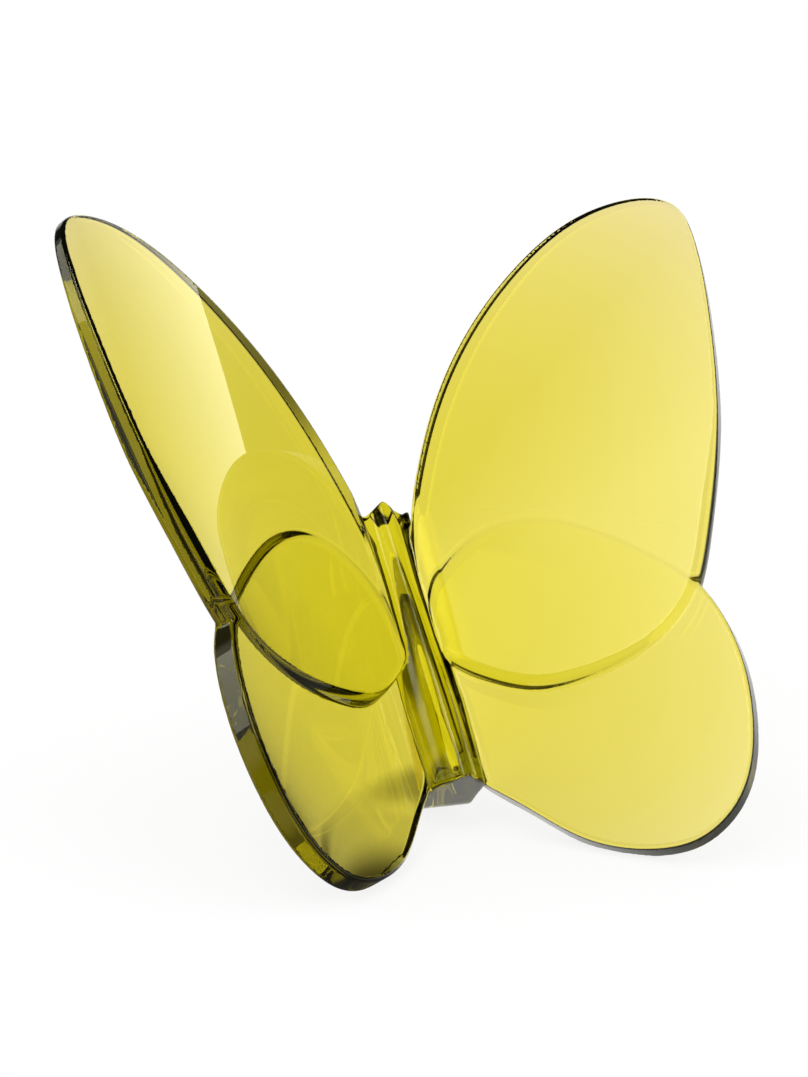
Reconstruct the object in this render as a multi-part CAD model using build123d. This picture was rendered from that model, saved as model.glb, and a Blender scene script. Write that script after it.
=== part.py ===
from build123d import *
from math import copysign, cos, radians, sin, tau
import os

# A butterfly ornament pressed in one clear coloured glass. It leans back and stands on three small
# ground flats, one under each hindwing and one under the heel of the body.
# Lengths are in millimetres and angles in degrees. The model is drawn upright first, with X to the
# side, -Y out of the open front of the wings and Z along the body. Then it is leaned back.

# Forewing
FORE_REACH = 42.2            # from the middle of the body to the outer edge, along the wing
FORE_SPAN = 54.5             # from the lower edge to the top of the wing, along the body
FORE_LOW = 7.1               # height of the lower edge over the foot of the body
FORE_THICKNESS = 3.6         # at the crown of the wing
FORE_FRONT_RISE = 0.6        # how far the crown of the front face stands over its furthest edge
FORE_BACK_RISE = 0.2         # the same on the back face
FORE_THINNING_SHARES = (0.045, 0.02)    # of the way outwards and of the way up
FORE_HALF_OPENING = 57.3     # from the middle plane of the butterfly to the wing
FORE_TILT = 4.8              # how far the wing leans behind the line of the body
FORE_SEAT = 4.0              # how far in front of the foot of the body line the crown plane lies
FORE_EDGE_RADIUS = 0.6
# Outline as shares of reach and span, from the root over the top and back along the lower edge
FORE_OUTLINE_SHARES = [
    (0.021, 0.339), (0.097, 0.524), (0.276, 0.761), (0.538, 0.938), (0.801, 1.0), (0.979, 0.943),
    (1.0, 0.833), (0.969, 0.655), (0.908, 0.453), (0.776, 0.191), (0.668, 0.063), (0.526, 0.009),
    (0.381, 0.0), (0.249, 0.017), (0.141, 0.069), (0.044, 0.152),
]
FORE_CROWN_SHARES = (0.51, 0.50)

# Hindwing
HIND_REACH = 33.6
HIND_SPAN = 43.5
HIND_LOW = -14.7
HIND_THICKNESS = 4.2
HIND_FRONT_RISE = 0.3
HIND_BACK_RISE = 1.8
HIND_THINNING_SHARES = (0.03, 0.0)
HIND_HALF_OPENING = 53.2
HIND_TILT = 5.6
HIND_SEAT = 0.8
HIND_EDGE_RADIUS = 0.6
HIND_OUTLINE_SHARES = [
    (0.035, 0.595), (0.12, 0.894), (0.223, 0.964), (0.381, 1.0), (0.538, 0.971), (0.775, 0.825),
    (0.921, 0.676), (0.991, 0.513), (1.0, 0.376), (0.966, 0.223), (0.846, 0.055), (0.691, 0.0),
    (0.536, 0.022), (0.368, 0.101), (0.193, 0.259), (0.052, 0.414),
]
HIND_CROWN_SHARES = (0.52, 0.50)

# Body, a rod that is fluted in front and swells into an abdomen behind the wings
BODY_FLUTES = 6
FLUTE_DEPTH = 0.2
SECTION_POINTS = 36
BODY_LENGTH = 34.8           # from the foot to the crown
BODY_HALF_WIDTH = 3.5        # at the widest, over the foot
BODY_FRONT_REACH = 5.9       # in front of the body line, at the foot
BODY_BACK_REACH = 11.5       # behind the body line, at the swell of the abdomen
BODY_BACK_FULLNESS = 0.75    # 1 makes the back of a section an ellipse, less makes it blunter
# Shares of the body's length, half width, front reach and back reach at each section
BODY_SECTION_SHARES = [
    (0.0, 0.94, 1.0, 0.94), (0.12, 0.98, 0.93, 1.0), (0.28, 1.0, 0.83, 0.94),
    (0.48, 0.90, 0.68, 0.74), (0.70, 0.86, 0.52, 0.54), (0.88, 0.91, 0.42, 0.44),
    (1.0, 0.97, 0.34, 0.38),
]
FOOT_BACK = 2.1              # how far behind the body line the foot is flat
HEEL_ANGLE = 27.0            # the underside of the abdomen rises this much behind the foot
HEEL_RADIUS = 1.3
# The crown as shares of the half width and depths under its middle
CROWN_VALLEY_SHARE = 0.62
CROWN_VALLEY_DIP = 1.5
CROWN_TIP_SHARE = 0.94
CROWN_TIP_DIP = 0.8

# Channel that parts the faces of the forewings from the body
CHANNEL_RADIUS = 3.8
CHANNEL_STAND = 3.7          # its middle line stands this far in front of the forewing's root

# Stand
LEAN = 41.0
GROUND_FLAT_DEPTH = 0.3      # how much is ground off under each hindwing


def wing(reach, span, low, thickness, front_rise, back_rise, thinning_shares, half_opening, tilt,
         seat, edge_radius, outline_shares, crown_shares):
    """A lobe between two shallow domes, thinner outwards, standing on the right of the body."""
    points = [(u * reach, low + v * span) for u, v in outline_shares]
    crown = (crown_shares[0] * reach, low + crown_shares[1] * span)
    furthest = max(((u - crown[0]) ** 2 + (v - crown[1]) ** 2) ** 0.5 for u, v in points)
    blank = extrude(make_face(Spline(points, periodic=True)), 2 * thickness, both=True)
    for rise, top, inward in ((front_rise, 0, Vector(0, 0, -1)),
                              (back_rise, -thickness, Vector(*(-s for s in thinning_shares), 1))):
        radius = (furthest ** 2 + rise ** 2) / (2 * rise)
        middle = Vector(*crown, top) + inward.normalized() * radius
        blank &= Pos(*middle) * Rot(90, 0, 0) * Sphere(radius)
    rims = blank.edges().sort_by(Axis.Z)
    blank = fillet([rims[0], rims[-1]], edge_radius)
    turn, back = radians(half_opening), radians(tilt)
    outward = (sin(turn), -cos(turn) * cos(back), cos(turn) * sin(back))
    facing = (-cos(turn), -sin(turn) * cos(back), sin(turn) * sin(back))
    return Plane(origin=(0, -seat, 0), x_dir=outward, z_dir=facing).location * blank


def body_section(height_share, width_share, front_share, back_share):
    """A closed outline, fluted in front, deeper and blunter behind the body line."""
    points = []
    for step in range(SECTION_POINTS):
        angle = tau * step / SECTION_POINTS
        flute = FLUTE_DEPTH * cos(BODY_FLUTES * (angle - tau / 4)) * (1 - sin(angle)) / 2
        if sin(angle) > 0:
            reach, fullness = BODY_BACK_REACH * back_share, BODY_BACK_FULLNESS
        else:
            reach, fullness = BODY_FRONT_REACH * front_share, 1
        across = copysign(abs(cos(angle)) ** fullness, cos(angle))
        points.append((BODY_HALF_WIDTH * width_share * across + flute * cos(angle),
                       (reach + flute) * sin(angle)))
    return Pos(0, 0, height_share * BODY_LENGTH) * make_face(Spline(points, periodic=True))


def crown_block():
    """Everything under the wavy top of the body."""
    wave = [(0, BODY_LENGTH), (BODY_HALF_WIDTH * CROWN_VALLEY_SHARE, BODY_LENGTH - CROWN_VALLEY_DIP),
            (BODY_HALF_WIDTH * CROWN_TIP_SHARE, BODY_LENGTH - CROWN_TIP_DIP)]
    tip, top = wave[-1]
    side = 2 * BODY_HALF_WIDTH
    crest = Spline([(-x, z) for x, z in reversed(wave)] + wave[1:])
    rest = Polyline((tip, top), (side, top), (side, 0), (-side, 0), (-side, top), (-tip, top))
    return extrude(Plane.XZ * make_face(crest + rest), 2 * BODY_BACK_REACH, both=True)


# The body stands upright on a flat foot, with a heel that rises behind it
beyond = 2 * BODY_LENGTH
rod = loft([body_section(*shares) for shares in BODY_SECTION_SHARES])
rod -= Pos(0, FOOT_BACK, 0) * Rot(HEEL_ANGLE, 0, 0) * Box(
    beyond, beyond, beyond, align=(Align.CENTER, Align.MIN, Align.MAX))
rod &= crown_block()
heel = rod.faces().filter_by(GeomType.PLANE).sort_by(Axis.Z)[1]
rod = fillet(heel.edges().sort_by(Axis.Y)[-1], HEEL_RADIUS)

# Each lobe gives way to what lies in front of it, so that their faces meet
channel = Pos(0, -FORE_SEAT - CHANNEL_STAND, 0) * Rot(-FORE_TILT, 0, 0) * Cylinder(
    CHANNEL_RADIUS, beyond)
fore_blank = wing(FORE_REACH, FORE_SPAN, FORE_LOW, FORE_THICKNESS, FORE_FRONT_RISE,
                  FORE_BACK_RISE, FORE_THINNING_SHARES, FORE_HALF_OPENING, FORE_TILT, FORE_SEAT,
                  FORE_EDGE_RADIUS, FORE_OUTLINE_SHARES, FORE_CROWN_SHARES) - channel
hind_blank = wing(HIND_REACH, HIND_SPAN, HIND_LOW, HIND_THICKNESS, HIND_FRONT_RISE,
                  HIND_BACK_RISE, HIND_THINNING_SHARES, HIND_HALF_OPENING, HIND_TILT, HIND_SEAT,
                  HIND_EDGE_RADIUS, HIND_OUTLINE_SHARES, HIND_CROWN_SHARES)
pieces = {"body": rod}
for side, sided in (("right", lambda piece: piece), ("left", lambda piece: mirror(piece, Plane.YZ))):
    fore = sided(fore_blank) - rod
    pieces["forewing_" + side] = fore
    pieces["hindwing_" + side] = sided(hind_blank) - fore - rod

# The whole butterfly leans back, and what reaches under the ground is ground away
pieces = {name: Rot(-LEAN, 0, 0) * piece for name, piece in pieces.items()}
low = pieces["hindwing_right"].bounding_box().min.Z + GROUND_FLAT_DEPTH
ground = Pos(0, 0, low) * Box(beyond, beyond, beyond, align=(Align.CENTER, Align.CENTER, Align.MAX))
pieces = {name: piece - ground for name, piece in pieces.items()}

# The origin lies on the ground, in the middle of the footprint box
whole = Compound(list(pieces.values())).bounding_box()
home = Pos(0, -(whole.min.Y + whole.max.Y) / 2, -low)
os.makedirs("parts", exist_ok=True)
for name, piece in pieces.items():
    export_step(home * piece, f"parts/{name}.step")
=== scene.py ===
"""Butterfly ornament of clear olive-yellow glass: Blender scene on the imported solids."""
# %% [markdown]
# # A glass butterfly
# The real ornament is one casting of clear yellow-olive crystal: a fluted body, two large
# forewings and two smaller hindwings behind them, all melted together. It leans back and stands
# on the lower rims of its hindwings and on the heel of its body.
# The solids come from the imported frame. This script gives the casting its melted skin, its glass
# and a small studio.

# %% Frame
import math
import bpy
import numpy as np
from mathutils import Matrix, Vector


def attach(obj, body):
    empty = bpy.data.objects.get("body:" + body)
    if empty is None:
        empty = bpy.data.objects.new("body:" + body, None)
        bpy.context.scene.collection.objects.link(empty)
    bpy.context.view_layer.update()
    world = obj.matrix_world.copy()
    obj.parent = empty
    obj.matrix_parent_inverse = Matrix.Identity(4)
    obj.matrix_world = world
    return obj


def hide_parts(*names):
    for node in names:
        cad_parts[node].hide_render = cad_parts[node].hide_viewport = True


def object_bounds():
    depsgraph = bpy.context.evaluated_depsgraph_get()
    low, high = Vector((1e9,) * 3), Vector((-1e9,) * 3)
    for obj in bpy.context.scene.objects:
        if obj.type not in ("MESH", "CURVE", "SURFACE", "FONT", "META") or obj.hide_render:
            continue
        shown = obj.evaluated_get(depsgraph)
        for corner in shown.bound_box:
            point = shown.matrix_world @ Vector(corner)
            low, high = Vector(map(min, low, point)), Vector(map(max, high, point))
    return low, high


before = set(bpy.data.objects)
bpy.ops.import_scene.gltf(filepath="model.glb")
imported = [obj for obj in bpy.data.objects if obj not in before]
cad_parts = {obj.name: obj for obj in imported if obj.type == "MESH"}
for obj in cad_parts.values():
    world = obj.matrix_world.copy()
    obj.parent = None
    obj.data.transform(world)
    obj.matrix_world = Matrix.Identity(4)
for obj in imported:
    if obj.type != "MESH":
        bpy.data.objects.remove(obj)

CAD_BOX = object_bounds()
LOW, HIGH = (np.array(corner) for corner in CAD_BOX)
print("solids from", LOW.round(4), "to", HIGH.round(4), "metres")

# %% [markdown]
# ## Sizes
# The wings are drawn upright, in millimetres, with X to the side, Y to the back and Z along the
# body, and leaned back at the end, because every part of the butterfly is simpler that way.
# A wing is a lobe between two shallow domes, thinner outwards. Its outline goes through a few
# points given as shares of its reach and span. Both sides are alike, so only the right is drawn.

# %% Wing and body sizes
LEAN = math.radians(41.0)
FORE = dict(reach=42.2, span=54.5, low=7.1, thickness=3.8, front_rise=0.6, back_rise=0.6,
            thinning=(0.045, 0.01), half_opening=57.3, tilt=4.8, seat=4.0, edge=0.45, lip=(0.8, -1),
            crown=(0.51, 0.50),
            outline=[(0.021, 0.339), (0.097, 0.524), (0.276, 0.761), (0.538, 0.938),
                     (0.801, 1.0), (0.979, 0.943), (1.0, 0.833), (0.969, 0.655), (0.908, 0.453),
                     (0.776, 0.191), (0.668, 0.063), (0.526, 0.009), (0.381, 0.0),
                     (0.249, 0.017), (0.141, 0.069), (0.044, 0.152)])
HIND = dict(reach=33.6, span=43.5, low=-14.7, thickness=3.9, front_rise=0.3, back_rise=1.1,
            thinning=(0.015, 0.0), half_opening=53.2, tilt=5.6, seat=0.8, edge=0.45, lip=(0.9, 1),
            crown=(0.52, 0.50),
            outline=[(0.035, 0.595), (0.12, 0.894), (0.223, 0.964), (0.381, 1.0), (0.538, 0.971),
                     (0.775, 0.825), (0.921, 0.676), (0.991, 0.513), (1.0, 0.376),
                     (0.966, 0.223), (0.846, 0.055), (0.691, 0.0), (0.536, 0.022),
                     (0.368, 0.101), (0.193, 0.259), (0.052, 0.414)])
LIP_FROM, LIP_FADE = 0.2, 0.5    # sine of the way from the crown: a lip's start, and its fade-in
BODY_LENGTH, BODY_HALF_WIDTH, BODY_FRONT, BODY_BACK = 34.8, 3.5, 5.9, 11.5
BODY_BACK_FULLNESS, FLUTES, FLUTE_DEPTH = 0.75, 6, 0.3
CROWN_ACROSS, CROWN_DIPS = (0, 1.1, 2.17, 3.29, 5), (0, 0.75, 1.5, 0.8, 0.8)
# Height, and shares of the half width, front and back reach, from the foot to the crown
BODY_SECTIONS = np.array([
    (0.0, 0.94, 1.0, 0.94), (0.12, 0.98, 0.93, 1.0), (0.28, 1.0, 0.83, 0.94),
    (0.48, 0.90, 0.68, 0.74), (0.70, 0.86, 0.52, 0.54), (0.88, 0.91, 0.42, 0.44),
    (1.0, 0.97, 0.34, 0.38)])
FOOT_BACK, HEEL_ANGLE = 2.1, math.radians(27.0)
CHANNEL_RADIUS, CHANNEL_STAND = 3.8, 3.7         # of the groove that parts forewings and body
BODY_EDGE, MELT = 0.4, 0.3       # radii of the body's edges and of the hollows between pieces
GROUND = -2.6106                 # height of the ground under the leaned butterfly's foot
FORWARD = -5.4260                # brings the middle of the footprint to the origin
MM_IN_METRE = 1000

# %% [markdown]
# ## Closed curves
# A wing's rim has no corner. A smooth closed outline through a few points is a periodic cubic:
# each stretch is a cubic polynomial, and slope and bend agree where two stretches meet, also
# where the last meets the first. The slopes at the points come from one small set of linear
# equations. A Blender curve would do too, but the next steps need the outline as numbers.


# %% Closed curves
def closed_curve(points, steps=150):
    """Hermite cubics through the points, with the slopes of a periodic cubic spline over chord
    length: for every point, slope before / h0 + 2 slope (1/h0 + 1/h1) + slope after / h1 equals
    3 (rise before / h0^2 + rise after / h1^2)."""
    points = np.asarray(points, float)
    count = len(points)
    rise = np.roll(points, -1, 0) - points
    h = np.linalg.norm(rise, axis=1)
    before = np.roll(h, 1)
    matrix = np.zeros((count, count))
    at = np.arange(count)
    matrix[at, at] = 2 / h + 2 / before
    matrix[at, (at + 1) % count] = 1 / h
    matrix[at, (at - 1) % count] = 1 / before
    target = 3 * (rise / h[:, None] ** 2 + np.roll(rise, 1, 0) / before[:, None] ** 2)
    slope = np.linalg.solve(matrix, target)
    t = np.linspace(0, 1, steps, endpoint=False)[None, :, None]
    p0, p1 = points[:, None], np.roll(points, -1, 0)[:, None]
    m0, m1 = (slope * h[:, None])[:, None], (np.roll(slope, -1, 0) * h[:, None])[:, None]
    curve = ((2 * t**3 - 3 * t**2 + 1) * p0 + (t**3 - 2 * t**2 + t) * m0
             + (3 * t**2 - 2 * t**3) * p1 + (t**3 - t**2) * m1)
    return curve.reshape(-1, 2)


def outline_of(wing):
    """The wing's outline in its own plane, in millimetres."""
    shares = np.array(wing["outline"])
    return closed_curve(shares * (wing["reach"], wing["span"]) + (0, wing["low"]))


for name, wing in (("forewing", FORE), ("hindwing", HIND)):
    rim = outline_of(wing)
    print(name, "outline", rim.min(0).round(1), rim.max(0).round(1), "mm")

# %% [markdown]
# ## The melted skin
# In the mould the body and the wings run into each other, with soft hollows where they meet. A
# grid of two parameters can't close over such a joint, and five touching pieces would show
# mirror faces inside the glass. So the skin is one surface, where a distance field is zero. The
# field of the whole butterfly is worked out from the fields of its lobes, and the rules that
# join them round the hollows.


# %% Joining rules
def rounded_and(radius, *fields):
    """Where all fields are below zero, with edges of the given radius: shift every field up by
    the radius, take the length of the positive parts, and shift back down."""
    shifted = np.stack([field + radius for field in fields])
    return (np.minimum(shifted.max(0), 0) + np.linalg.norm(np.maximum(shifted, 0), axis=0)
            - radius)


def rounded_or(radius, a, b):
    """Where either field is below zero, with a hollow of the given radius where they meet."""
    return -rounded_and(radius, -a, -b)


# %% [markdown]
# A pressed wing has two polished faces and a rounded rim. The solids get it from an extruded
# outline and two spheres. Here it has to melt into its neighbours, so it is three simple fields
# joined by one rule: measured from its crown, the rim is a distance for every direction, and
# each face is a shallow dome.

# %% Wing field
def wing_axes(wing):
    """Unit vectors along the wing outwards, up its root and out of its front face."""
    turn, back = math.radians(wing["half_opening"]), math.radians(wing["tilt"])
    outward = np.array((math.sin(turn), -math.cos(turn) * math.cos(back),
                        math.cos(turn) * math.sin(back)))
    up = np.array((0, math.sin(back), math.cos(back)))
    return outward, up, np.cross(outward, up)


def wing_field(wing, points):
    """Distance to a lobe on the right. In its plane, with polar coordinates about the crown, the
    rim is where r equals the outline's radius at that angle. The faces are paraboloids that
    fall by the rise at the furthest point of the rim, and the back one is tilted as well, so
    that the lobe is thinner outwards. The edge is rounder along the lip, which is the lower arc
    of a forewing and the upper arc of a hindwing."""
    outward, up, facing = wing_axes(wing)
    outline = outline_of(wing)
    crown = np.array((wing["crown"][0] * wing["reach"],
                      wing["low"] + wing["crown"][1] * wing["span"]))
    spread = outline - crown
    angle = np.arctan2(spread[:, 1], spread[:, 0])
    radius = np.linalg.norm(spread, axis=1)
    order = np.argsort(angle)
    angle, radius = angle[order], radius[order]
    slope = np.gradient(np.r_[radius[-3:], radius, radius[:3]],
                        np.r_[angle[-3:] - math.tau, angle, angle[:3] + math.tau])[3:-3]
    lean = 1 / np.sqrt(1 + (slope / radius) ** 2)
    placed = points - (0, -wing["seat"], 0)
    u, v, w = placed @ outward - crown[0], placed @ up - crown[1], placed @ facing
    r, a = np.hypot(u, v), np.arctan2(v, u)
    rim = (r - np.interp(a, angle, radius, period=math.tau)) * np.interp(
        a, angle, lean, period=math.tau)
    fall = r**2 / radius.max() ** 2
    front = w + wing["front_rise"] * fall
    outwards, upwards = wing["thinning"]
    back = (wing["back_rise"] * fall - wing["thickness"] + outwards * u + upwards * v - w)
    back /= math.sqrt(1 + outwards**2 + upwards**2)
    rounder, side = wing["lip"]
    edge = wing["edge"] + rounder * np.clip((side * np.sin(a) - LIP_FROM) / LIP_FADE, 0, 1)
    return rounded_and(edge, rim, front, back)


# %% [markdown]
# The body is a rod whose section changes from the foot to the crown. It is fluted in front and
# swells into an abdomen behind. A loft through its sections would do for a rod alone. As a field
# it melts into the wings too, with its sections blended between a few heights.

# %% Body field
def body_field(points):
    """Distance to the fluted rod: G = sqrt((x / half width)^(2 / fullness) + (y / reach)^2) - 1,
    divided by the length of its gradient, inside the crown, the foot and the heel. The flutes
    are a wave round the front: depth * cos(flutes * angle), fading out behind. The tiny numbers
    only keep it from dividing by zero on the middle line."""
    x, y, z = np.abs(points[:, 0]), points[:, 1], points[:, 2]
    share = np.clip(z / BODY_LENGTH, 0, 1)
    width, front, back = (np.interp(share, BODY_SECTIONS[:, 0], BODY_SECTIONS[:, i])
                          for i in (1, 2, 3))
    behind = y > 0
    reach = np.where(behind, BODY_BACK * back, BODY_FRONT * front)
    half = BODY_HALF_WIDTH * width
    around = np.arctan2(y / reach, x / half)
    flute = FLUTE_DEPTH * np.cos(FLUTES * (around - math.pi / 2)) * (1 - np.sin(around)) / 2
    half, reach = half + flute, reach + flute
    power = np.where(behind, 1 / BODY_BACK_FULLNESS, 1.0)
    across = (x / half + 1e-9) ** power
    size = np.sqrt(across**2 + (y / reach) ** 2) + 1e-9
    gradient = np.hypot(power * across**2 / (x + 1e-6), y / reach**2) / size
    side = (size - 1) / (gradient + 1e-6)
    top = z - BODY_LENGTH + np.interp(x, CROWN_ACROSS, CROWN_DIPS)
    heel = (-z * math.cos(HEEL_ANGLE) + (y - FOOT_BACK) * math.sin(HEEL_ANGLE))
    return rounded_and(BODY_EDGE, side, top, -z, heel)


# %% [markdown]
# The pieces are joined as in the mould: a groove parts the forewings from the body, the
# hindwings melt into the forewings and both into the body, and the ground grinds off three
# small flats. Boolean modifiers would leave sharp creases, which the rules above round off.

# %% Whole butterfly
def butterfly_field(points):
    """The whole casting: body, hindwings and forewings melted together over the ground."""
    right = points.copy()
    right[:, 0] = np.abs(right[:, 0])
    tilt = math.radians(FORE["tilt"])
    along = np.array((0, math.sin(tilt), math.cos(tilt)))
    away = right - (0, -FORE["seat"] - CHANNEL_STAND, 0)
    away = away - (away @ along)[:, None] * along
    channel = CHANNEL_RADIUS - np.linalg.norm(away, axis=1)
    fore = rounded_and(MELT, wing_field(FORE, right), channel)
    wings = rounded_or(MELT, fore, wing_field(HIND, right))
    whole = rounded_or(MELT, wings, body_field(right))
    ground = -(points[:, 2] * math.cos(LEAN) - points[:, 1] * math.sin(LEAN) - GROUND)
    return np.maximum(whole, ground)


def leaned(arrows):
    """Turn the upright butterfly's arrows back about X."""
    y, z = arrows[:, 1], arrows[:, 2]
    return np.stack([arrows[:, 0], y * math.cos(LEAN) + z * math.sin(LEAN),
                     z * math.cos(LEAN) - y * math.sin(LEAN)], axis=1)


def stand(points):
    """Lean the upright butterfly back and set it on the ground, in metres."""
    return (leaned(points) + (0, FORWARD, -GROUND)) / MM_IN_METRE


IN_GLASS = np.array([(19.0, -11.0, 35.0)])       # in the middle of the right forewing
print("field in the glass, below zero, and out in the air, above it:",
      butterfly_field(IN_GLASS).round(1), butterfly_field(2 * IN_GLASS).round(1), "mm")

# %% [markdown]
# ## From field to mesh
# Surface nets: a cell of the grid that the surface passes through gets one vertex, at the mean
# of the crossings on its twelve edges, and every grid edge that is crossed gets one face
# between the four cells around it. Marching cubes would do too, but it needs a long table of
# cases and leaves slivers. A few Newton steps then pull the vertices onto the true zero of the
# field, and the field's gradient gives them exact normals.


# %% Surface nets
def surface_nets(field, origin, cell):
    """Quads where the sampled field changes sign, wound to face the positive side."""
    inside = field < 0
    shape = np.array(field.shape) - 1
    corners = [(i, j, k) for i in (0, 1) for j in (0, 1) for k in (0, 1)]
    total = np.zeros(shape, np.int8)
    for i, j, k in corners:
        total += inside[i:i + shape[0], j:j + shape[1], k:k + shape[2]]
    active = np.argwhere((total > 0) & (total < len(corners)))
    index = np.full(shape, -1, np.int32)
    index[tuple(active.T)] = np.arange(len(active))
    sums, hits = np.zeros((len(active), 3)), np.zeros((len(active), 1))
    for a in corners:
        for axis in range(3):
            if a[axis]:
                continue
            b = tuple(c + (n == axis) for n, c in enumerate(a))
            fa, fb = (field[tuple((active + offset).T)] for offset in (a, b))
            cross = (fa < 0) != (fb < 0)
            t = np.where(cross, fa / np.where(cross, fa - fb, 1), 0)
            spot = np.array(a) + t[:, None] * (np.array(b) - a)
            sums += spot * cross[:, None]
            hits += cross[:, None]
    vertices = origin + (active + sums / hits) * cell
    faces = []
    for axis in range(3):
        one, two = (axis + 1) % 3, (axis + 2) % 3
        near = [slice(1, n) for n in shape]
        far = list(near)
        near[axis], far[axis] = slice(0, shape[axis]), slice(1, shape[axis] + 1)
        a, b = inside[tuple(near)], inside[tuple(far)]
        spots = np.argwhere(a != b) + [0 if n == axis else 1 for n in range(3)]
        leaving = a[a != b]
        ring = []
        for p, q in ((-1, -1), (0, -1), (0, 0), (-1, 0)):
            at = spots.copy()
            at[:, one] += p
            at[:, two] += q
            ring.append(index[tuple(at.T)])
        quad = np.stack(ring, axis=1)
        faces.append(np.where(leaving[:, None], quad, quad[:, ::-1]))
    return vertices, np.concatenate(faces)


def gradient_of(field, points, step=0.04):
    """Central differences of the field along X, Y and Z."""
    return np.stack([(field(points + offset) - field(points - offset)) / (2 * step)
                     for offset in np.eye(3) * step], axis=1)


# %% [markdown]
# The field is worked out twice: roughly, once in every block of a few cells each way, and then
# finely in the blocks that the skin may pass through. Far from the skin only its sign matters,
# so most of the grid costs nothing.

# %% Even net
START, STOP = np.array((-37.8, -27.0, -16.5)), np.array((37.8, 13.5, 63.0))
CELL, BLOCK = 0.27, 3            # millimetres, and cells each way
NEAR = 1.2                       # the fine grid is worked out this close to the skin
PULLS, LEAST_SLOPE = 2, 0.5      # Newton steps, and the flattest slope that they trust


def in_parts(field, points, size=200_000):
    """The field at many points, a part at a time."""
    return np.concatenate([field(part) for part in
                           np.array_split(points, max(1, len(points) // size))])


def sampled(field):
    """The field on the fine grid, exact near the skin and rough elsewhere."""
    blocks = np.ceil((STOP - START) / (BLOCK * CELL)).astype(int)
    middles = np.stack(np.indices(blocks), axis=-1).reshape(-1, 3) * BLOCK + BLOCK // 2
    values = in_parts(field, START + middles * CELL).reshape(blocks)
    for axis in range(3):
        values = np.repeat(values, BLOCK, axis=axis)
    near = np.argwhere(np.abs(values) < NEAR)
    values[tuple(near.T)] = in_parts(field, START + near * CELL)
    return values


def pulled(field, points, steps):
    """Newton steps onto the zero of the field: move by value / slope^2 along the slope."""
    for _ in range(steps):
        slope = gradient_of(field, points)
        reach = field(points)[:, None] / np.maximum(
            (slope**2).sum(1, keepdims=True), LEAST_SLOPE**2)
        points = points - np.clip(reach * slope, -CELL / 2, CELL / 2)
    return points


skin, quads = surface_nets(sampled(butterfly_field), START, CELL)
skin = pulled(butterfly_field, skin, PULLS)
print("glass skin", len(skin), "vertices", len(quads), "quads")

# %% [markdown]
# The even net has far more faces than the flat parts need. A Decimate modifier merges those and
# keeps the ones round the edges. What is left is pulled onto the field again, and the slope
# of the field gives each vertex its exact normal, so that the big faces shade as one curve.
# Glass shows every dent, so this second pull matters more than the number of faces.

# %% Glass piece
FACES_KEPT = 0.45

even = bpy.data.meshes.new("even_net")
even.from_pydata(skin.tolist(), [], quads.tolist())
draft = bpy.data.objects.new("even_net", even)
bpy.context.scene.collection.objects.link(draft)
draft.modifiers.new("fewer_faces", "DECIMATE").ratio = FACES_KEPT
mesh = bpy.data.meshes.new_from_object(
    draft.evaluated_get(bpy.context.evaluated_depsgraph_get()))
bpy.data.objects.remove(draft)
mesh.name = "butterfly_glass"
skin = np.empty(3 * len(mesh.vertices))
mesh.vertices.foreach_get("co", skin)
skin = pulled(butterfly_field, skin.reshape(-1, 3), PULLS)
mesh.vertices.foreach_set("co", stand(skin).ravel())
mesh.polygons.foreach_set("use_smooth", np.ones(len(mesh.polygons), bool))
mesh.update()
print("kept", len(mesh.polygons), "faces, left over",
      float(np.abs(butterfly_field(skin)).max().round(4)), "mm")
facing = leaned(gradient_of(butterfly_field, skin))
facing /= np.linalg.norm(facing, axis=1, keepdims=True)
mesh.normals_split_custom_set_from_vertices(facing.tolist())
glass = bpy.data.objects.new("butterfly_glass", mesh)
bpy.context.scene.collection.objects.link(glass)
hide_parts("body", "forewing_left", "forewing_right", "hindwing_left", "hindwing_right")
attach(glass, "root")

# %% [markdown]
# ## Glass
# Coloured glass looks pale where it is thin and olive where light runs through it lengthwise. A
# colour on the surface alone would be the same everywhere. So most of the colour is in the
# volume: light loses a share of each colour with every millimetre. Blue goes at once, red and
# green together, so that a long way through the glass turns it dark olive and not amber. A tint
# of the faces makes it yellow, and a warmer one colours what they mirror, so that the rims
# don't turn grey.

# %% Glass material
FACE_TINT, MIRROR_TINT = (1.0, 0.87, 0.9), (1.0, 0.97, 0.6)
DEPTH_COLOUR, DEPTH_DENSITY = (0.927, 0.925, 0.04), 600.0
WING_THICKNESS = 0.004           # metres

material = bpy.data.materials.new("olive_yellow_glass")
material.use_nodes = True
tree = material.node_tree
shader = tree.nodes["Principled BSDF"]
shader.inputs["Base Color"].default_value = (*FACE_TINT, 1)
shader.inputs["Specular Tint"].default_value = (*MIRROR_TINT, 1)
shader.inputs["Roughness"].default_value = 0.0
shader.inputs["IOR"].default_value = 1.54
shader.inputs["Transmission Weight"].default_value = 1.0
depth = tree.nodes.new("ShaderNodeVolumeAbsorption")
depth.inputs["Color"].default_value = (*DEPTH_COLOUR, 1)
depth.inputs["Density"].default_value = DEPTH_DENSITY
tree.links.new(depth.outputs["Volume"], tree.nodes["Material Output"].inputs["Volume"])
mesh.materials.append(material)
print("light left after 4 mm of glass:",
      [round(math.exp(-DEPTH_DENSITY * (1 - c) * WING_THICKNESS), 2) for c in DEPTH_COLOUR])

# %% [markdown]
# ## Studio
# Glass has no look of its own: it shows its surroundings bent. A glass maker's photographer puts
# white boards round the piece with dark gaps between them, so that the faces look through to
# white and every rounded edge picks up a dark line. An even white room would leave the glass
# without edges. The surroundings are drawn with a few Math nodes, so here are two small helpers.


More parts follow.
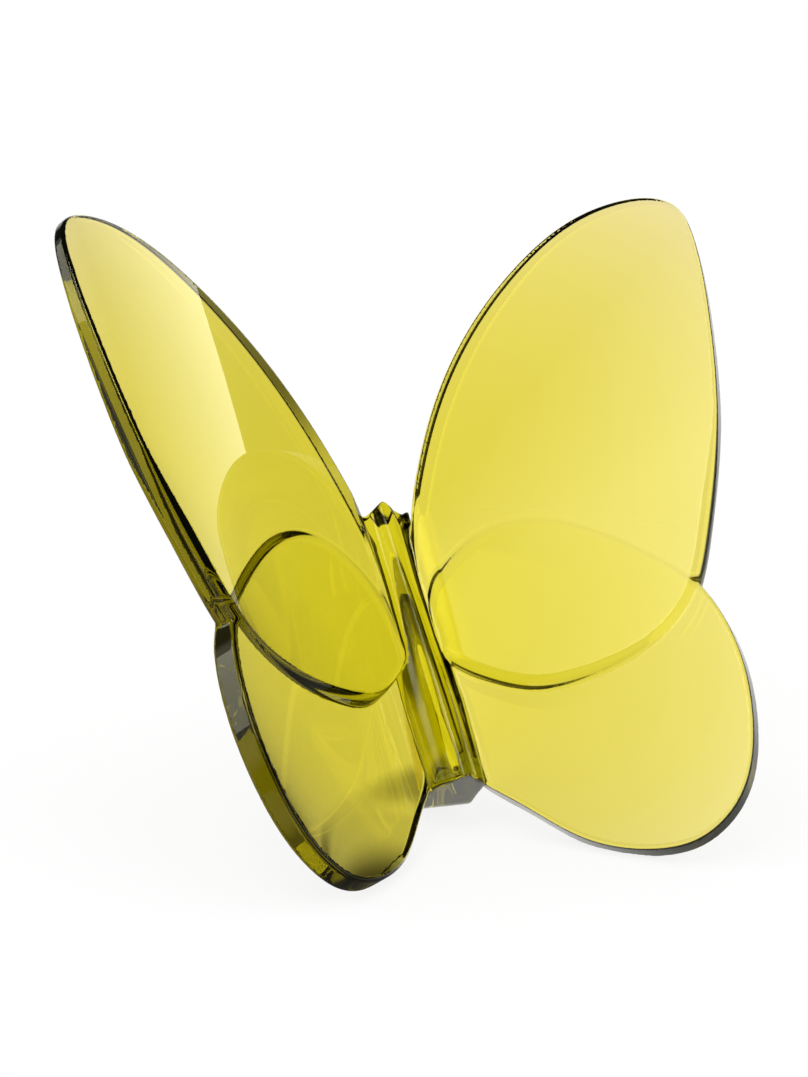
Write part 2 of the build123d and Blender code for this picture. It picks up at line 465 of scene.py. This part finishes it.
# %% Node helpers
def number_step(tree, operation, *values):
    """One Math node. A value is a number or another node's output."""
    node = tree.nodes.new("ShaderNodeMath")
    node.operation = operation
    for socket, value in zip(node.inputs, values):
        if isinstance(value, (int, float)):
            socket.default_value = value
        else:
            tree.links.new(value, socket)
    return node.outputs[0]


def soft_step(tree, value, start, stop, low, high):
    """A smooth ramp from low to high while the value goes from start to stop."""
    node = tree.nodes.new("ShaderNodeMapRange")
    node.interpolation_type = "SMOOTHSTEP"
    tree.links.new(value, node.inputs["Value"])
    for name, number in zip(("From Min", "From Max", "To Min", "To Max"),
                            (start, stop, low, high)):
        node.inputs[name].default_value = number
    return node.outputs["Result"]


# %% [markdown]
# The boards could be planes round the butterfly, but then they would shade the floor too. The
# world draws them instead, as a wave round the horizon, with the white backdrop behind the
# butterfly. The camera and matt surfaces see plain white.

# %% White boards and dark gaps
BOARDS, FIRST_BOARD, BOARD_HALF = 4, math.radians(22), math.radians(25)
BOARD_EDGE, BOARD_SOFTNESS = math.cos(BOARDS * BOARD_HALF), 0.2
BOARD_TOP, TOP_SOFTNESS = 0.45, 0.15             # sines of the elevation
BACKDROP_HALF, FAN_SOFTNESS = math.radians(38), 0.06
BOARD_GLOW, GAP_GLOW = 0.6, 0.06


def fan(tree, turn, half, inside, outside):
    """One brightness within half an angle of a direction and another outside: a soft step on
    the cosine of the turn from it."""
    edge = math.cos(half)
    return soft_step(tree, number_step(tree, "COSINE", turn), edge - FAN_SOFTNESS,
                     edge + FAN_SOFTNESS, outside, inside)


def turn_from(tree, x, y, azimuth):
    """The angle from an azimuth to the direction (x, y)."""
    return number_step(tree, "SUBTRACT", number_step(tree, "ARCTAN2", x, y), azimuth)


def boards_round(tree, x, y):
    """How bright the room is in the direction (x, y): white in the backdrop, dimmer in the
    boards, which are the crests of a wave round the horizon, and nearly dark in the gaps."""
    turn = turn_from(tree, x, y, FIRST_BOARD)
    wave = number_step(tree, "COSINE", number_step(tree, "MULTIPLY", turn, BOARDS))
    board = soft_step(tree, wave, BOARD_EDGE - BOARD_SOFTNESS, BOARD_EDGE + BOARD_SOFTNESS,
                      GAP_GLOW, BOARD_GLOW)
    return number_step(tree, "MAXIMUM", board, fan(tree, turn, BACKDROP_HALF, 1.0, GAP_GLOW))


world = bpy.data.worlds.new("studio")
bpy.context.scene.world = world
world.use_nodes = True
tree = world.node_tree
towards = tree.nodes.new("ShaderNodeSeparateXYZ")
tree.links.new(tree.nodes.new("ShaderNodeTexCoord").outputs["Generated"], towards.inputs[0])
under = soft_step(tree, towards.outputs["Z"], BOARD_TOP, BOARD_TOP + TOP_SOFTNESS, 1.0, 0.0)
boards = number_step(tree, "MAXIMUM", GAP_GLOW, number_step(
    tree, "MULTIPLY", under, boards_round(
        tree, towards.outputs["X"], towards.outputs["Y"])))
ray = tree.nodes.new("ShaderNodeLightPath").outputs
plain = number_step(tree, "MAXIMUM", ray["Is Camera Ray"], ray["Is Diffuse Ray"])
room = tree.nodes["Background"]
room.inputs["Color"].default_value = (1, 1, 1, 1)
tree.links.new(number_step(tree, "MAXIMUM", boards, plain), room.inputs["Strength"])
print(BOARDS, "white boards, the first", round(math.degrees(FIRST_BOARD)), "degrees right of +Y")

# %% [markdown]
# The floor is one flat sheet, so wide that no view shows its edge. A curved backdrop would do
# too, but the world is white behind the floor anyway.

# %% Floor
FLOOR_HALF = 3.0                 # metres

floor_mesh = bpy.data.meshes.new("floor")
floor_mesh.from_pydata([(-FLOOR_HALF, -FLOOR_HALF, 0), (FLOOR_HALF, -FLOOR_HALF, 0),
                        (FLOOR_HALF, FLOOR_HALF, 0), (-FLOOR_HALF, FLOOR_HALF, 0)],
                       [], [(0, 1, 2, 3)])
floor = bpy.data.objects.new("floor", floor_mesh)
bpy.context.scene.collection.objects.link(floor)
print("floor", 2 * FLOOR_HALF, "metres wide")

# %% [markdown]
# The paper is white to the camera. Glass sees it pale all round and white towards the backdrop.
# A dark card lies on the left, where the thick body bends its view to. The paper's glow is painted
# dimmer under the foot and in front of the wings: a painted shadow, where the butterfly stands in
# its own light. A real card would lie in the picture, so the paper's own glow draws it, for
# mirrored and bent light only. Near the butterfly a little of the paper's own shading stays, for
# the shadow.

# %% Paper
PAPER_COLOUR = (0.95, 0.95, 0.95)
SHADOW_SHARE = 0.15
SHADOW_FROM, SHADOW_TO = 0.04, 0.14              # metres from the origin, where it fades out
PAPER_GLOW, SHADED = 0.8, 0.4    # of the paper all round, and of the places with painted shade
WHITE_PAPER_HALF = math.radians(33)
DARK_CARD, CARD_HALF = math.radians(-45), math.radians(27)
TIP_AHEAD = 0.05                 # card and white paper fan out this far in front of the origin
FOOT_AT, FOOT_SHADE = (0.001, 0.005, 0.0), (0.004, 0.009)      # metres from the foot, over which the painted shade fades out
FRONT_SHADE = (-0.026, -0.019)   # metres along Y, over which the painted shade in front fades out

paper = bpy.data.materials.new("pale_floor")
paper.use_nodes = True
tree = paper.node_tree
matt = tree.nodes["Principled BSDF"]
matt.inputs["Base Color"].default_value = (*PAPER_COLOUR, 1)
matt.inputs["Roughness"].default_value = 1.0
matt.inputs["Specular IOR Level"].default_value = 0.0
glow = tree.nodes.new("ShaderNodeEmission")
ray = tree.nodes.new("ShaderNodeLightPath").outputs
place = tree.nodes.new("ShaderNodeTexCoord").outputs["Object"]
spot = tree.nodes.new("ShaderNodeSeparateXYZ")
tree.links.new(place, spot.inputs[0])


def distance_from(tree, place, middle):
    """How far a place lies from a point."""
    node = tree.nodes.new("ShaderNodeVectorMath")
    node.operation = "DISTANCE"
    tree.links.new(place, node.inputs[0])
    node.inputs[1].default_value = middle
    return node.outputs["Value"]


across, deep = spot.outputs["X"], number_step(tree, "ADD", spot.outputs["Y"], TIP_AHEAD)
lit_paper = number_step(
    tree, "MAXIMUM",
    fan(tree, turn_from(tree, across, deep, DARK_CARD), CARD_HALF, GAP_GLOW, PAPER_GLOW),
    fan(tree, turn_from(tree, across, deep, FIRST_BOARD), WHITE_PAPER_HALF, 1.0, GAP_GLOW))
# painted shadow: the paper's glow is dimmed near the foot and in front of the wings
for value, span in ((distance_from(tree, place, FOOT_AT), FOOT_SHADE),
                    (spot.outputs["Y"], FRONT_SHADE)):
    lit_paper = number_step(tree, "MULTIPLY", lit_paper, soft_step(
        tree, value, *span, SHADED, 1.0))
tree.links.new(number_step(tree, "MAXIMUM", ray["Is Camera Ray"], lit_paper),
               glow.inputs["Strength"])
seen = number_step(tree, "MAXIMUM", ray["Is Camera Ray"], number_step(
    tree, "MAXIMUM", ray["Is Transmission Ray"], ray["Is Glossy Ray"]))
share = number_step(tree, "MULTIPLY", seen, soft_step(
    tree, distance_from(tree, place, (0, 0, 0)), SHADOW_FROM, SHADOW_TO, 1 - SHADOW_SHARE, 1.0))
mix = tree.nodes.new("ShaderNodeMixShader")
tree.links.new(share, mix.inputs[0])
tree.links.new(matt.outputs[0], mix.inputs[1])
tree.links.new(glow.outputs[0], mix.inputs[2])
tree.links.new(mix.outputs[0], tree.nodes["Material Output"].inputs["Surface"])
floor_mesh.materials.append(paper)
print("paper that keeps", SHADOW_SHARE, "of its own shading at the butterfly")

# %% [markdown]
# Three soft boxes are mirrored in the glass. A long strip hangs on the right: its slanted lower
# edge is the straight line down the left wings, and it fades upwards. A large box hangs high on
# the left, behind the camera: it whitens the outer parts of the right wings. A lower one on the
# left lights the rims of the left wings. An area lamp has straight corners and one brightness,
# and these have slanted sides and fade, so each box is a glowing silk with a brightness at
# every corner.

# %% Soft boxes
BOX_AWAY = 0.7                   # metres from the wing that mirrors it
LEFT_WING, RIGHT_WING = np.array((-0.0145, 0.0075, 0.033)), np.array((0.02, 0.008, 0.035))


def way(azimuth, elevation):
    """Unit arrow at an azimuth, from +Y towards +X, and an elevation, in degrees."""
    turn, rise = math.radians(azimuth), math.radians(elevation)
    return np.array((math.sin(turn) * math.cos(rise), math.cos(turn) * math.cos(rise),
                     math.sin(rise)))


def soft_box(name, spot, corners, glows):
    """A four-cornered silk, seen from the spot in the directions of its corners, with its own
    brightness at each corner."""
    silk = bpy.data.meshes.new(name)
    places = spot + BOX_AWAY * np.array([way(*corner) for corner in corners])
    silk.from_pydata(places.tolist(), [], [(0, 1, 2, 3)])
    silk.attributes.new("glow", "FLOAT", "POINT").data.foreach_set("value", glows)
    material = bpy.data.materials.new(name + "_silk")
    material.use_nodes = True
    tree = material.node_tree
    tree.nodes.remove(tree.nodes["Principled BSDF"])
    lit = tree.nodes.new("ShaderNodeEmission")
    faded = tree.nodes.new("ShaderNodeAttribute")
    faded.attribute_name = "glow"
    tree.links.new(faded.outputs["Fac"], lit.inputs["Strength"])
    tree.links.new(lit.outputs[0], tree.nodes["Material Output"].inputs["Surface"])
    silk.materials.append(material)
    box = bpy.data.objects.new(name, silk)
    box.visible_camera = False
    bpy.context.scene.collection.objects.link(box)
    print(name, "at", places.mean(0).round(2))


soft_box("strip_light", LEFT_WING, ((50, 30.5), (86, 13.5), (88, 17.5), (52, 35.0)),
         (3.4, 3.4, 0.0, 0.0))
soft_box("high_light", RIGHT_WING, ((-98, 38), (-98, 72), (-140, 72), (-140, 38)),
         (0.0, 0.0, 5.0, 5.0))
soft_box("rim_light", LEFT_WING, ((-85, 14), (-50, 14), (-50, 40), (-85, 40)),
         (2.5, 2.5, 2.5, 2.5))

# %% [markdown]
# ## Camera
# The camera stands where the photograph was taken: a little left of the middle and a little
# above, looking down on the open front. Its place and its long lens were worked out from the
# outline of the butterfly, and are set as one matrix rather than by a tracking constraint.

# %% Camera
CAMERA_AT = (-0.122386, -0.296026, 0.105687)
VIEW = np.array((0.36213, 0.90297, -0.23131))
RIGHT = np.array((0.92974, -0.36766, 0.02032))
UP = np.cross(RIGHT, VIEW)
LENS, SENSOR, NEAREST = 104.9, 36.0, 0.01        # millimetres, millimetres and metres

camera = bpy.data.objects.new("camera", bpy.data.cameras.new("camera"))
camera.data.sensor_fit = "AUTO"
camera.data.sensor_width = SENSOR
camera.data.lens = LENS
camera.data.clip_start = NEAREST
camera.matrix_world = Matrix([(*row, at) for row, at in zip(
    np.stack([RIGHT, UP, -VIEW], axis=1).tolist(), CAMERA_AT)] + [(0, 0, 0, 1)])
bpy.context.scene.collection.objects.link(camera)
bpy.context.scene.camera = camera
bpy.context.scene.view_settings.view_transform = "Standard"
print("camera at", np.round(CAMERA_AT, 3), "looking along", VIEW.round(2))
